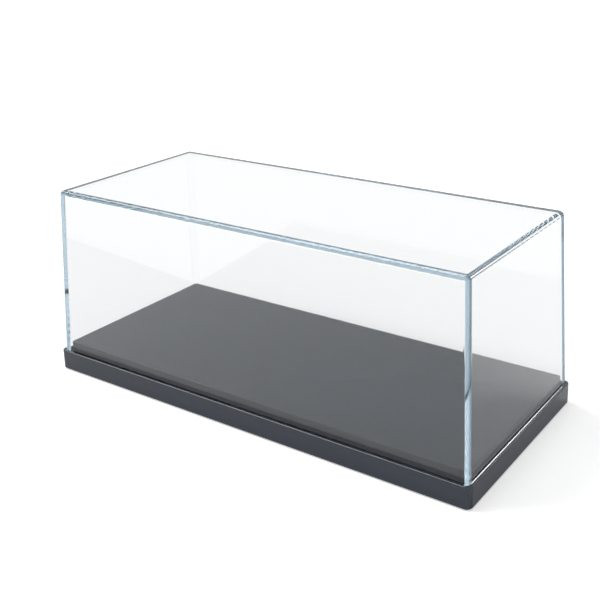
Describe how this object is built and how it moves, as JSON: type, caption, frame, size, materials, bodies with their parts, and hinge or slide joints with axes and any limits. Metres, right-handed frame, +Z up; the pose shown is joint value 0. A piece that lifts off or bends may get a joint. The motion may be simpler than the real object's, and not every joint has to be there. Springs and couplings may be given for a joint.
{
  "type": "display case",
  "caption": "Clear moulded cover that slips over a raised black deck and stands in a groove round it in a shallow black base, to show a small scale model free of dust.",
  "frame": {"origin": "middle of the footprint, on the surface that the feet stand on", "axes": "+X along the long front side to the right, +Y from the front to the rear, +Z up"},
  "size_m": [0.245, 0.11, 0.1],
  "materials": {
    "clear_polystyrene": "clear, polished mould",
    "black_abs": "satin, moulded",
    "black_abs_deck": "satin gloss, moulded",
    "zinc_plated_steel": "bright zinc",
    "foot_rubber": "matt"
  },
  "bodies": {
    "base": {"base_tray": "black_abs", "deck_plate": "black_abs_deck", "deck_screws": "zinc_plated_steel", "foot_front_left": "foot_rubber", "foot_front_right": "foot_rubber", "foot_rear_left": "foot_rubber", "foot_rear_right": "foot_rubber"},
    "cover": {"clear_cover": "clear_polystyrene"}
  },
  "joints": [
    {"name": "cover_lift", "type": "slide", "parent": "base", "child": "cover", "axis": [0, 0, 1], "range_m": [0, 0.1]}
  ]
}
